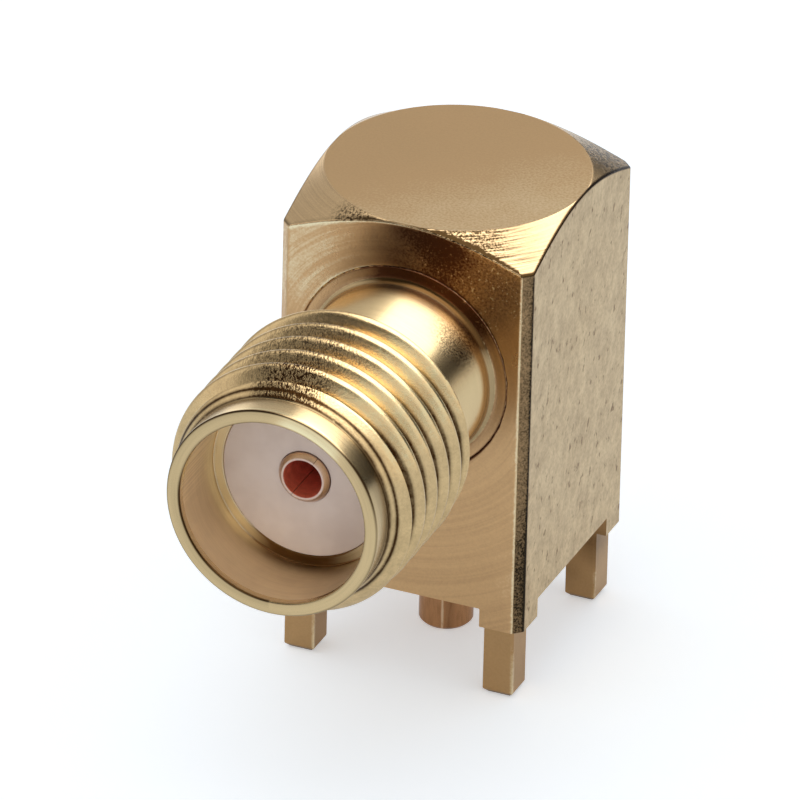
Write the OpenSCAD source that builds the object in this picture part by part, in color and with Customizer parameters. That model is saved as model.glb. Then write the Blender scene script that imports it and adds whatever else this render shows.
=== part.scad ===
// Right-angle coaxial jack for a circuit board.
// A square block stands on four standoffs, with a threaded barrel pressed into its front.
// Origin: axis of the signal pin, on the surface of the board. The barrel points along -Y.

/* [Body block] */
// Width and depth of the square block
body_w = 6.35; // [6.2:0.05:7.2]
// Height of the block's top above the board
body_h = 10.2; // [9.8:0.1:12]
// Width of the bevel on the four upright edges, along each face
edge_bevel = 0.22; // [0.1:0.02:0.36]
// Diameter of the round flat that the turned chamfer leaves on top
top_flat_d = 6.3; // [5.4:0.1:6.4]
// Slope of the turned chamfer round the top, in degrees
top_slope = 30; // [20:1:40]

/* [Standoffs and ground legs] */
// Height of the standoffs that lift the block off the board
standoff_h = 0.48; // [0.3:0.02:0.8]
// Width of each square standoff
standoff_w = 1.05; // [1.04:0.01:1.2]
// Distance between the centres of the ground legs
leg_pitch = 5.08; // [4.95:0.01:5.12]
// Width of each square leg
leg_w = 0.76; // [0.6:0.02:0.82]
// Length of the legs below the board's surface
leg_len = 1.9; // [1.6:0.1:4]
// Bevel round the tip of each leg
leg_tip_bevel = 0.12; // [0.05:0.01:0.2]

/* [Barrel] */
// Height of the barrel's axis above the board
axis_h = 6.4; // [5.8:0.1:6.8]
// Distance from the signal pin's axis to the mouth of the barrel
reach = 10.85; // [10.4:0.05:14]
// Inside diameter of the mouth
mouth_d = 4.62; // [4.4:0.02:4.8]
// Depth of the mouth, down to the face of the insulator
mouth_depth = 1.95; // [1.6:0.05:2.4]
// Bevel inside and outside the rim of the mouth
rim_bevel = 0.05; // [0.03:0.01:0.08]
// Diameter of the plain pilot ahead of the thread
pilot_d = 5.28; // [5.1:0.02:5.36]
// Length of the pilot
pilot_len = 0.72; // [0.5:0.02:1]
// Wall of the plain neck behind the thread, outside the insulator
neck_wall = 0.2; // [0.16:0.02:0.34]
// Radius of the fillet between the neck and the spigot's shoulder
neck_fillet = 0.2; // [0.1:0.02:0.3]
// Diameter of the spigot that is pressed into the block
spigot_d = 5.3; // [5.2:0.05:5.5]
// Length of the spigot inside the block
spigot_len = 1.5; // [1.2:0.05:1.7]

/* [Coupling thread] */
// Outside diameter of the thread
thread_d = 6.2; // [6.1:0.02:6.35]
// Distance from one thread to the next
thread_pitch = 0.7056; // [0.66:0.0004:0.8]
// Depth of the thread groove
thread_depth = 0.38; // [0.3:0.01:0.4]
// Length of the threaded part
thread_len = 3.75; // [3.2:0.05:4.2]
// Share of the pitch that stays flat on each crest
crest_share = 0.2; // [0.12:0.01:0.28]
// Angle between the two flanks of the groove, in degrees
flank_angle = 60; // [55:1:60]

/* [Front insulator] */
// Diameter of the insulator inside the barrel
bush_d = 4.1; // [3.9:0.02:4.16]
// Distance from the signal pin's axis to the rear end of the insulator
bush_rear = 1.1; // [1:0.05:1.3]
// Clearance round the insulator's collar
collar_clear = 0.03; // [0.01:0.01:0.08]

/* [Centre contact] */
// Bore of the socket
socket_d = 0.94; // [0.9:0.01:1]
// Depth of the socket's bore
socket_depth = 3; // [2.6:0.1:3.6]
// Outside diameter of the socket
contact_d = 1.27; // [1.2:0.01:1.34]
// How far the socket's end stands out of the insulator
contact_proud = 0.14; // [0:0.02:0.3]
// Bevel round the end of the socket
contact_bevel = 0.1; // [0.05:0.01:0.12]
// Width of the slots in the socket
slot_w = 0.06; // [0.04:0.01:0.12]
// Length of the slots
slot_len = 2.2; // [1.8:0.1:2.5]
// Turn of the slots from upright, clockwise from the front, in degrees
slot_turn = 30; // [0:5:90]
// Diameter of the thick tail that carries the signal pin
tail_d = 1.7; // [1.5:0.05:1.9]
// Distance from the signal pin's axis to the end of the tail
tail_end = 0.9; // [0.8:0.05:1.1]
// Clearance round the socket inside its insulator
contact_clear = 0.03; // [0.02:0.01:0.06]

/* [Signal pin and its insulator] */
// Diameter of the signal pin below its insulator
pin_d = 1.3; // [1.2:0.02:1.36]
// Diameter of the pin's stem inside its insulator
stem_d = 0.96; // [0.9:0.02:1.1]
// Length of the pin below the board's surface
pin_len = 1.9; // [1.6:0.1:4]
// Bevel round the tip of the pin
pin_bevel = 0.1; // [0.05:0.01:0.2]
// Diameter of the pin's upper end, pressed into the tail
spike_d = 0.8; // [0.7:0.02:0.86]
// Diameter of the insulator round the pin
pin_bush_d = 3.9; // [3.6:0.05:4]
// Clearance round the stem inside the insulator
stem_clear = 0.03; // [0.02:0.01:0.06]

/* [Inner cavity] */
// Diameter of the cavity behind the front insulator
cavity_d = 4.2; // [4.1:0.05:4.4]
// Distance from the signal pin's axis to the back of the cavity
cavity_back = 1.6; // [1.4:0.05:1.8]

/* [Hidden] */
$fn = 96;

gold = "#C9AD79";
ptfe = "#DCCFC6";
copper_gold = "#B98A5E";

body_r = body_w / 2;
over = 0.01;
flank_run = thread_depth * tan(flank_angle / 2);
crest_w = crest_share * thread_pitch;
groove_top = 2 * flank_run;
groove_flat = thread_pitch - crest_w - groove_top;
thread_front = reach - pilot_len;
thread_rear = thread_front - thread_len;
lead_in = (thread_d - pilot_d) / 2;
neck_r = bush_d / 2 + neck_wall;
run_out = thread_d / 2 - neck_r;
groove_count = floor((thread_len - lead_in - crest_w) / thread_pitch);
bush_front = reach - mouth_depth;
collar_front = body_r - spigot_len;
fillet_r = min(neck_fillet, spigot_d / 2 - neck_r);
socket_front = bush_front + contact_proud;
pin_bush_top = axis_h - spigot_d / 2;

// Moves a shape drawn along +Z onto the barrel's axis, with +Z turned to the front
module along_barrel() {
    translate([0, 0, axis_h]) rotate([90, 0, 0]) children();
}

// Square with its four corners cut off, as a flat outline
module bevelled_square(w, bevel) {
    r = w / 2;
    e = r - bevel;
    polygon([[e, -r], [r, -e], [r, e], [e, r], [-e, r], [-r, e], [-r, -e], [-e, -r]]);
}

// Turned form of the top: a round flat with a cone that falls away to the corners
module turned_top() {
    flat_r = top_flat_d / 2;
    corner_r = body_r * sqrt(2);
    corner_h = body_h - (corner_r - flat_r) * tan(top_slope);
    rotate_extrude()
        polygon([[0, 0], [corner_r, 0], [corner_r, corner_h], [flat_r, body_h], [0, body_h]]);
}

// Side view of a leg, with its bevelled tip, carried through the leg's width
module leg_profile() {
    r = leg_w / 2;
    tip = r - leg_tip_bevel;
    shoulder = leg_tip_bevel - leg_len;
    rotate([90, 0, 0]) linear_extrude(leg_w, center = true)
        polygon([[-r, standoff_h], [-r, shoulder], [-tip, -leg_len], [tip, -leg_len], [r, shoulder],
                 [r, standoff_h]]);
}

// Square leg, bevelled on all four sides of its tip, from the block's underside down
module leg() {
    intersection() {
        leg_profile();
        rotate([0, 0, 90]) leg_profile();
    }
}

// The four standoffs: what is left of the block's outline in its corners
module standoffs() {
    gap = body_w - 2 * standoff_w;
    difference() {
        linear_extrude(standoff_h + over) bevelled_square(body_w, edge_bevel);
        for (turn = [0, 90])
            rotate([0, 0, turn]) translate([-gap / 2, -body_w, -over])
                cube([gap, 2 * body_w, standoff_h + 3 * over]);
    }
}

// Bores of the block: the barrel's seat, the cavity behind it and the pin insulator's seat from below
module body_bores() {
    along_barrel() {
        translate([0, 0, bush_rear]) cylinder(d = spigot_d, h = body_w);
        translate([0, 0, -cavity_back]) cylinder(d = cavity_d, h = cavity_back + body_w);
    }
    cylinder(d = pin_bush_d, h = axis_h);
}

module body() {
    color(gold) difference() {
        union() {
            intersection() {
                translate([0, 0, standoff_h])
                    linear_extrude(body_h) bevelled_square(body_w, edge_bevel);
                turned_top();
            }
            standoffs();
            for (x = [-1, 1], y = [-1, 1])
                translate([x * leg_pitch / 2, y * leg_pitch / 2, 0]) leg();
        }
        body_bores();
    }
}

// Outline of the barrel's outside, from the spigot's end to the mouth, as [radius, distance from the pin's axis]
function barrel_outside() = [
    [spigot_d / 2, collar_front],
    [spigot_d / 2, body_r],
    [neck_r, body_r],
    [neck_r, thread_rear - run_out],
    [thread_d / 2, thread_rear],
    for (i = [0 : groove_count - 1]) each groove(thread_rear + crest_w + i * thread_pitch),
    [thread_d / 2, thread_front - lead_in],
    [pilot_d / 2, thread_front],
    [pilot_d / 2, reach - rim_bevel],
    [pilot_d / 2 - rim_bevel, reach]
];

// One thread groove that starts at a place along the barrel
function groove(start) = [
    [thread_d / 2, start],
    [thread_d / 2 - thread_depth, start + flank_run],
    [thread_d / 2 - thread_depth, start + flank_run + groove_flat],
    [thread_d / 2, start + groove_top + groove_flat]
];

// Outline of the barrel's inside, from the mouth back to the spigot's end
function barrel_inside() = [
    [mouth_d / 2 + rim_bevel, reach],
    [mouth_d / 2, reach - rim_bevel],
    [mouth_d / 2, bush_front],
    [bush_d / 2, bush_front],
    [bush_d / 2, collar_front]
];

// Concave fillet between the neck and the spigot's shoulder, which is flush with the block's front face
module neck_fillet_ring() {
    rotate_extrude() difference() {
        translate([neck_r - over, body_r]) square([fillet_r + over, fillet_r]);
        translate([neck_r + fillet_r, body_r + fillet_r]) circle(r = fillet_r);
    }
}

module barrel() {
    color(gold) along_barrel() union() {
        rotate_extrude() polygon(concat(barrel_outside(), barrel_inside()));
        neck_fillet_ring();
    }
}

module front_insulator() {
    bore_r = contact_d / 2 + contact_clear;
    collar_r = spigot_d / 2 - collar_clear;
    color(ptfe) along_barrel() rotate_extrude()
        polygon([[bore_r, bush_rear], [collar_r, bush_rear], [collar_r, collar_front],
                 [bush_d / 2, collar_front], [bush_d / 2, bush_front], [bore_r, bush_front]]);
}

module centre_contact() {
    r = contact_d / 2;
    color(copper_gold) difference() {
        along_barrel() difference() {
            rotate_extrude()
                polygon([[0, -tail_end], [tail_d / 2, -tail_end], [tail_d / 2, bush_rear], [r, bush_rear],
                         [r, socket_front - contact_bevel], [r - contact_bevel, socket_front],
                         [0, socket_front]]);
            translate([0, 0, socket_front - socket_depth]) cylinder(d = socket_d, h = socket_depth + over);
            rotate([0, 0, -slot_turn])
                translate([-slot_w / 2, -contact_d, socket_front - slot_len])
                    cube([slot_w, 2 * contact_d, slot_len + over]);
        }
        translate([0, 0, axis_h - tail_d]) cylinder(d = spike_d, h = 2 * tail_d);
    }
}

module pin_insulator() {
    color(ptfe) translate([0, 0, standoff_h]) difference() {
        cylinder(d = pin_bush_d, h = pin_bush_top - standoff_h);
        translate([0, 0, -over]) cylinder(d = stem_d + 2 * stem_clear, h = pin_bush_top);
    }
}

module signal_pin() {
    shoulder = axis_h - tail_d / 2;
    top = axis_h + tail_d / 2;
    color(copper_gold) rotate_extrude()
        polygon([[0, -pin_len], [pin_d / 2 - pin_bevel, -pin_len], [pin_d / 2, pin_bevel - pin_len],
                 [pin_d / 2, standoff_h], [stem_d / 2, standoff_h], [stem_d / 2, shoulder],
                 [spike_d / 2, shoulder], [spike_d / 2, top], [0, top]]);
}

body();
barrel();
front_insulator();
centre_contact();
pin_insulator();
signal_pin();
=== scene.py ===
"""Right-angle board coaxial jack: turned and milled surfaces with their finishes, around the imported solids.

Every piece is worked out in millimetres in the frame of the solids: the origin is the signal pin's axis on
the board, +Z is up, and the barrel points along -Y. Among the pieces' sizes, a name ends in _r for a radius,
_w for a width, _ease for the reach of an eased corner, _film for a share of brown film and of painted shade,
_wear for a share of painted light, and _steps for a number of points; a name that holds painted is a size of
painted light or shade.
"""
import logging
import math
from dataclasses import dataclass
from enum import Enum, IntEnum

import bmesh
import bpy
import numpy as np
from mathutils import Matrix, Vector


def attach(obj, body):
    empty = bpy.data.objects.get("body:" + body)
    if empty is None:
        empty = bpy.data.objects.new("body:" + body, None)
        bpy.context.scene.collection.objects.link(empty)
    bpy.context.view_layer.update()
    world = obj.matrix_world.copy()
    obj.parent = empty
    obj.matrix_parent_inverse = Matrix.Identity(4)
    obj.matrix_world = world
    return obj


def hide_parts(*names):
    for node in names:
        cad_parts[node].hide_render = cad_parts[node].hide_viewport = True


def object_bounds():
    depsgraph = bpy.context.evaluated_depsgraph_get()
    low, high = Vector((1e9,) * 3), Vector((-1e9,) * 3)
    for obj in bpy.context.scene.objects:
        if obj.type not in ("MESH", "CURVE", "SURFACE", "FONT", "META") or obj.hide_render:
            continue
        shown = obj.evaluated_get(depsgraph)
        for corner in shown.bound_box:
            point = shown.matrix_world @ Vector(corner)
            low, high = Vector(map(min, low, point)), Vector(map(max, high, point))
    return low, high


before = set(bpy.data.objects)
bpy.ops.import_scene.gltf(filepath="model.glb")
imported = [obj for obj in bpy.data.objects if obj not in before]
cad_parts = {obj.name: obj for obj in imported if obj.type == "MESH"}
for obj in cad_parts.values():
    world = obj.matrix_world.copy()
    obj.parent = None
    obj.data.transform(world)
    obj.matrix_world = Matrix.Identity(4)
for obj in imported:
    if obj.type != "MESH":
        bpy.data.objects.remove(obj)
CAD_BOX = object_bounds()

# One millimetre in metres, and one micrometre in millimetres.
MM = 0.001
UM = 0.001

BODY = "root"
log = logging.getLogger("coaxial_jack")

# Points closer than this are welded, and edges that turn by more than this angle stay sharp.
WELD_MM = 2e-5
SHARP_ANGLE = math.radians(34)

# Places closer than this count as the same.
NEAR_MM = 0.001

# Value of the film attribute on clean plate: 0 is a full painted highlight, and 1 is full brown film and
# painted shade.
CLEAN = 0.2

# A corner's curve takes at most this share of the shorter side, with a support this many times as far out.
EASE_SHARE = 0.4
EASE_SUPPORT = 1.25

# Noise that all marks are drawn with, and how much of the position itself drifts into rings.
NOISE_DETAIL = 3.0
NOISE_ROUGHNESS = 0.6
RING_DRIFT = 0.03

# Share of a patch's radius inside which its marks are full.
PATCH_CORE = 0.3

# Half the block's width, in mm: the front face is this far out along the barrel's axis.
BLOCK_HALF = 3.175


def linear(colour: str) -> tuple[float, float, float, float]:
    """Turns an sRGB hex colour into linear red, green, blue and full alpha.

    Args:
        colour: six hex digits after a hash sign.

    Returns:
        The four channels that a shader socket takes.
    """
    channels = [int(colour[i:i + 2], 16) / 255 for i in (1, 3, 5)]
    return (*(c / 12.92 if c <= 0.04045 else ((c + 0.055) / 1.055) ** 2.4 for c in channels), 1.0)


def grey(level: float) -> tuple[float, float, float, float]:
    """Gives a neutral colour of one linear level."""
    return (level, level, level, 1.0)


def add(tree: bpy.types.NodeTree, kind: str, values: dict | None = None, links: dict | None = None,
        stops: list | None = None, **settings: object) -> bpy.types.Node:
    """Adds one node with its settings, socket values, colour stops and incoming links.

    Args:
        tree: the node tree that takes the node.
        kind: Blender's name for the node.
        values: constant for each named or numbered input.
        links: output socket for each named or numbered input.
        stops: place and colour of each stop, the two ends first, on a node that has a colour ramp.
        settings: the node's own properties.

    Returns:
        The new node.
    """
    node = tree.nodes.new(kind)
    for key, value in settings.items():
        setattr(node, key, value)
    for key, value in (values or {}).items():
        node.inputs[key].default_value = value
    for key, socket in (links or {}).items():
        tree.links.new(socket, node.inputs[key])
    for i, (place, colour) in enumerate(stops or []):
        elements = node.color_ramp.elements
        stop = elements[i] if i < 2 else elements.new(place)
        stop.position, stop.color = place, colour
    return node


def new_material(name: str) -> tuple[bpy.types.Material, bpy.types.NodeTree]:
    """Makes a material with an empty node tree.

    Args:
        name: common name of the real material and how its surface was made.

    Returns:
        The material and its tree.
    """
    material = bpy.data.materials.new(name)
    material.use_nodes = True
    material.node_tree.nodes.clear()
    return material, material.node_tree


def millimetres(tree: bpy.types.NodeTree) -> bpy.types.NodeSocket:
    """Gives the position on the piece in millimetres, from its Object coordinates."""
    place = add(tree, "ShaderNodeTexCoord").outputs["Object"]
    return add(tree, "ShaderNodeVectorMath", {"Scale": 1 / MM}, {0: place}, operation="SCALE").outputs[0]


@dataclass(frozen=True)
class Axis:
    """Line that something is turned about, with the two directions across it."""

    origin: tuple[float, float, float]
    along: tuple[float, float, float]
    up: tuple[float, float, float]
    side: tuple[float, float, float]

    def at(self, radius: np.ndarray, place: np.ndarray, turn: np.ndarray) -> np.ndarray:
        """Gives points round the axis: origin + place along it + radius (cos turn up + sin turn sideways).

        Args:
            radius: distances from the axis.
            place: distances along the axis.
            turn: angles from up towards the side, in radians.

        Returns:
            Points in mm, with the shape of the three arrays together.
        """
        radius, place, turn = np.broadcast_arrays(radius, place, turn)
        across = np.cos(turn)[..., None] * np.array(self.up) + np.sin(turn)[..., None] * np.array(self.side)
        return np.array(self.origin) + place[..., None] * np.array(self.along) + radius[..., None] * across

    def spun(self, profile: np.ndarray, turn: np.ndarray) -> np.ndarray:
        """Turns a profile about the axis.

        Args:
            profile: rows of (radius, place along the axis).
            turn: angles of the columns, in radians.

        Returns:
            Points shaped (rows, columns, 3).
        """
        return self.at(profile[:, :1], profile[:, 1:], turn[None])

    def ring_place(self, tree: bpy.types.NodeTree, place: bpy.types.NodeSocket) -> bpy.types.NodeSocket:
        """Changes a position to (distance from the axis, distance along it), with a little of the position.

        Args:
            tree: a material's node tree.
            place: position in mm.

        Returns:
            The socket with the changed position, on which a noise draws rings that fade along their way.
        """
        line = tuple(abs(c) for c in self.along)
        level = tuple(1 - c for c in line)
        local = add(tree, "ShaderNodeVectorMath", {1: self.origin}, {0: place},
                    operation="SUBTRACT").outputs[0]
        across = add(tree, "ShaderNodeVectorMath", {1: level}, {0: local}, operation="MULTIPLY").outputs[0]
        radius = add(tree, "ShaderNodeVectorMath", None, {0: across}, operation="LENGTH").outputs["Value"]
        depth = add(tree, "ShaderNodeVectorMath", {1: line}, {0: local},
                    operation="DOT_PRODUCT").outputs["Value"]
        rings = add(tree, "ShaderNodeCombineXYZ", None, {"X": radius, "Y": depth}).outputs[0]
        drift = add(tree, "ShaderNodeVectorMath", {"Scale": RING_DRIFT}, {0: local},
                    operation="SCALE").outputs[0]
        return add(tree, "ShaderNodeVectorMath", None, {0: rings, 1: drift}, operation="ADD").outputs[0]


BARREL_AXIS = Axis((0.0, 0.0, 6.4), (0.0, -1.0, 0.0), (0.0, 0.0, 1.0), (1.0, 0.0, 0.0))
PIN_AXIS = Axis((0.0, 0.0, 0.0), (0.0, 0.0, 1.0), (1.0, 0.0, 0.0), (0.0, 1.0, 0.0))


def eased(corners: list[tuple[float, float]], radius: float, steps: int = 5) -> np.ndarray:
    """Draws an open profile whose inner corners are eased by small curves.

    A corner B between A and C becomes the quadratic curve with control point B that starts the distance d
    from B towards A and ends d from B towards C. d is the radius, or EASE_SHARE of the shorter side beside
    the corner. One more point outside each end keeps the straight parts flat under smooth shading.

    Args:
        corners: the profile's points before easing.
        radius: distance from a corner at which its curve starts.
        steps: points on each curve.

    Returns:
        The profile's points, one per row.
    """
    points = np.array(corners, float)
    before, corner, after = points[:-2], points[1:-1], points[2:]
    reach_a = np.linalg.norm(before - corner, axis=1)
    reach_c = np.linalg.norm(after - corner, axis=1)
    d = np.minimum(radius, EASE_SHARE * np.minimum(reach_a, reach_c))[:, None]
    to_a = (before - corner) / reach_a[:, None]
    to_c = (after - corner) / reach_c[:, None]
    t = np.linspace(0, 1, steps)[None, :, None]
    curve = corner[:, None] + (1 - t) ** 2 * (d * to_a)[:, None] + t ** 2 * (d * to_c)[:, None]
    supports = corner[:, None] + EASE_SUPPORT * np.stack([d * to_a, d * to_c], axis=1)
    rows = np.concatenate([supports[:, :1], curve, supports[:, 1:]], axis=1)
    return np.vstack([points[:1], rows.reshape(-1, 2), points[-1:]])


def soft_min(a: np.ndarray, b: np.ndarray, width: float) -> np.ndarray:
    """Gives the smaller of two heights with the crease between them eased over a width.

    With h = clamp(1/2 + (b - a) / (2 width)), the result is b + (a - b) h - width h (1 - h).

    Args:
        a: first heights.
        b: second heights.
        width: difference of height over which the crease is eased.

    Returns:
        The eased minimum.
    """
    h = np.clip(0.5 + (b - a) / (2 * width), 0, 1)
    return b + (a - b) * h - width * h * (1 - h)


def ramp(value: np.ndarray, start: float, end: float) -> np.ndarray:
    """Goes smoothly from 0 at start to 1 at end: with t the clamped share of the way, t t (3 - 2 t)."""
    t = np.clip((value - start) / (end - start), 0, 1)
    return t * t * (3 - 2 * t)


class Arc(Enum):
    """Stretches round the barrel: start, full, fade and end, in degrees from up towards the right."""

    # The seam, chamfer, crest, pilot, rim and ledge stretches carry painted light; the one at the top,
    # painted shade.
    PAINTED_LIT_SEAM = (-80, -60, -10, 10)
    PAINTED_SHADE_TOP = (-35, -5, 40, 75)
    PAINTED_LIT_CHAMFER = (50, 80, 130, 170)
    PAINTED_LIT_CRESTS = (0, 25, 55, 80)
    PAINTED_LIT_PILOT = (-110, -80, 35, 50)
    PAINTED_LIT_RIM = (-5, 10, 35, 50)
    # Where the rim's edge lines get darker, as painted shade.
    DARK_OUTER_EDGE = (-90, -60, 60, 90)
    DARK_INNER_EDGE = (-205, -175, -95, -65)
    PAINTED_LIT_LEDGE = (-150, -130, -70, -50)

    def share(self, way: np.ndarray) -> np.ndarray:
        """Goes smoothly from 0 at start to 1 at full, stays there, and goes from fade back to 0 at end."""
        start, full, fade, end = self.value
        return ramp(way, start, full) * ramp(way, end, fade)


def bell(value: np.ndarray, middle: float, width: float) -> np.ndarray:
    """Gives a bell that is 1 at its middle: exp(-((value - middle) / width) squared)."""
    return np.exp(-((value - middle) / width) ** 2)


def lines(profile: np.ndarray, places: list[tuple[float, float]], width: float, share: float) -> np.ndarray:
    """Gives the film of thin dark lines on a turned profile: share times a bell of the distance to a line.

    Args:
        profile: rows of (radius, place along the axis).
        places: where the lines are, in the same terms.
        width: half width of a line.
        share: film in the middle of a line.

    Returns:
        One film value per row, as a column.
    """
    gap = np.linalg.norm(profile[:, None] - np.array(places)[None], axis=2).min(axis=1)
    return share * bell(gap, 0, width)[:, None]


class Skin:
    """Gathers the surface grids of one piece and turns them into one mesh."""

    def __init__(self) -> None:
        """Starts with no points."""
        self.points: list[np.ndarray] = []
        self.films: list[np.ndarray] = []
        self.quads: list[np.ndarray] = []
        self.zones: list[np.ndarray] = []
        self.count = 0

    def add(self, grid: np.ndarray, zone: object = 0, around: bool = False, keep: np.ndarray | None = None,
            film: object = 0.0) -> None:
        """Adds a grid of points, with one quad in each cell between rows i, i + 1 and columns j, j + 1.

        Args:
            grid: points in mm, shaped (rows, columns, 3).
            zone: number of the finish, one for all cells or an array that fits them.
            around: whether the last column is joined to the first.
            keep: which cells stay, for a grid with an opening.
            film: brown film and painted shade over the finish's own at each point, below 0 for painted
                highlights.
        """
        rows, columns = grid.shape[:2]
        index = np.arange(rows * columns).reshape(rows, columns) + self.count
        if around:
            index = np.hstack([index, index[:, :1]])
        cells = np.stack([index[:-1, :-1], index[:-1, 1:], index[1:, 1:], index[1:, :-1]], axis=-1)
        chosen = np.ones(cells.shape[:2], bool) if keep is None else keep
        self.quads.append(cells[chosen])
        self.zones.append(np.broadcast_to(zone, cells.shape[:2])[chosen])
        self.points.append(grid.reshape(-1, 3))
        self.films.append(np.broadcast_to(film, (rows, columns)).ravel())
        self.count += rows * columns

    def piece(self, name: str, materials: list[bpy.types.Material]) -> bpy.types.Object:
        """Puts the grids into a mesh, welds the points that coincide and turns the faces outwards.

        Args:
            name: name of the piece.
            materials: one material for each zone number.

        Returns:
            The object, at the origin and linked to the scene.
        """
        points = np.concatenate(self.points) * MM
        quads = np.concatenate(self.quads)
        mesh = bpy.data.meshes.new(name)
        mesh.vertices.add(len(points))
        mesh.vertices.foreach_set("co", points.ravel())
        mesh.loops.add(quads.size)
        mesh.loops.foreach_set("vertex_index", quads.ravel())
        mesh.polygons.add(len(quads))
        mesh.polygons.foreach_set("loop_start", np.arange(0, quads.size, 4))
        mesh.polygons.foreach_set("material_index", np.concatenate(self.zones).astype(np.int32))
        film = mesh.attributes.new("film", "FLOAT", "POINT")
        film.data.foreach_set("value", np.concatenate(self.films).astype(np.float32) + CLEAN)
        mesh.update(calc_edges=True)
        welded = bmesh.new()
        welded.from_mesh(mesh)
        bmesh.ops.remove_doubles(welded, verts=welded.verts, dist=WELD_MM * MM)
        bmesh.ops.recalc_face_normals(welded, faces=welded.faces)
        loose = [v for v in welded.verts if not v.link_faces]
        bmesh.ops.delete(welded, geom=loose, context="VERTS")
        welded.to_mesh(mesh)
        welded.free()
        mesh.shade_smooth()
        mesh.set_sharp_from_angle(angle=SHARP_ANGLE)
        for material in materials:
            mesh.materials.append(material)
        piece = bpy.data.objects.new(name, mesh)
        bpy.context.scene.collection.objects.link(piece)
        return piece

    def part(self, name: str, materials: list[bpy.types.Material], node: str) -> bpy.types.Object:
        """Makes the mesh into a piece of the part that stands for one of the solids.

        Args:
            name: name of the piece.
            materials: one material for each zone number.
            node: the solid's node.

        Returns:
            The piece.
        """
        piece = self.piece(name, materials)
        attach(piece, BODY)
        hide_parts(node)
        return piece


class Mark(Enum):
    """Kinds of mark on a surface, each with the noise values between which it goes from none to full."""

    CLOUD = (0.25, 0.75)
    GRAIN = (0.36, 0.68)
    RINGS = (0.36, 0.70)
    PITS = (0.59, 0.72)


@dataclass(frozen=True)
class Pattern:
    """One layer of marks.

    Attributes:
        mark: the kind.
        size_mm: size of a mark, coarser than the real one where that is too fine to show.
        share: how far the brown film and painted shade show in the marks, below 0 for painted highlights.
        depth_um: depth of the marks.
        axis: what the rings run round.
        stretch: factors on x, y and z that draw the marks out into streaks.
        tilt: angle that the streaks are turned by about x, in degrees.
        centre: middle of the patch that the marks keep to, where they do.
        radius: radius of that patch.
    """

    mark: Mark
    size_mm: float
    share: float
    depth_um: float = 0.0
    axis: Axis | None = None
    stretch: tuple[float, float, float] = (1.0, 1.0, 1.0)
    tilt: float = 0.0
    centre: tuple[float, float, float] | None = None
    radius: float = 1.0

    def draw(self, tree: bpy.types.NodeTree, place: bpy.types.NodeSocket) -> bpy.types.NodeSocket:
        """Draws the marks, from 0 on the clean surface to 1 in a full mark.

        Args:
            tree: the material's node tree.
            place: position in mm.

        Returns:
            The socket with the pattern.
        """
        where = self.axis.ring_place(tree, place) if self.axis else place
        if self.tilt:
            where = add(tree, "ShaderNodeVectorRotate", {"Angle": math.radians(self.tilt)}, {"Vector": where},
                        rotation_type="X_AXIS").outputs[0]
        where = add(tree, "ShaderNodeVectorMath", {1: self.stretch}, {0: where},
                    operation="MULTIPLY").outputs[0]
        noise = add(tree, "ShaderNodeTexNoise",
                    {"Scale": 1 / self.size_mm, "Detail": NOISE_DETAIL, "Roughness": NOISE_ROUGHNESS},
                    {"Vector": where}).outputs["Fac"]
        low, high = self.mark.value
        drawn = add(tree, "ShaderNodeMapRange", {"From Min": low, "From Max": high}, {"Value": noise},
                    interpolation_type="SMOOTHSTEP").outputs[0]
        if self.centre is None:
            return drawn
        gap = add(tree, "ShaderNodeVectorMath", {1: self.centre}, {0: place},
                  operation="DISTANCE").outputs["Value"]
        patch = add(tree, "ShaderNodeMapRange",
                    {"From Min": self.radius, "From Max": PATCH_CORE * self.radius}, {"Value": gap},
                    interpolation_type="SMOOTHSTEP").outputs[0]
        return add(tree, "ShaderNodeMath", None, {0: drawn, 1: patch}, operation="MULTIPLY").outputs[0]


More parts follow.
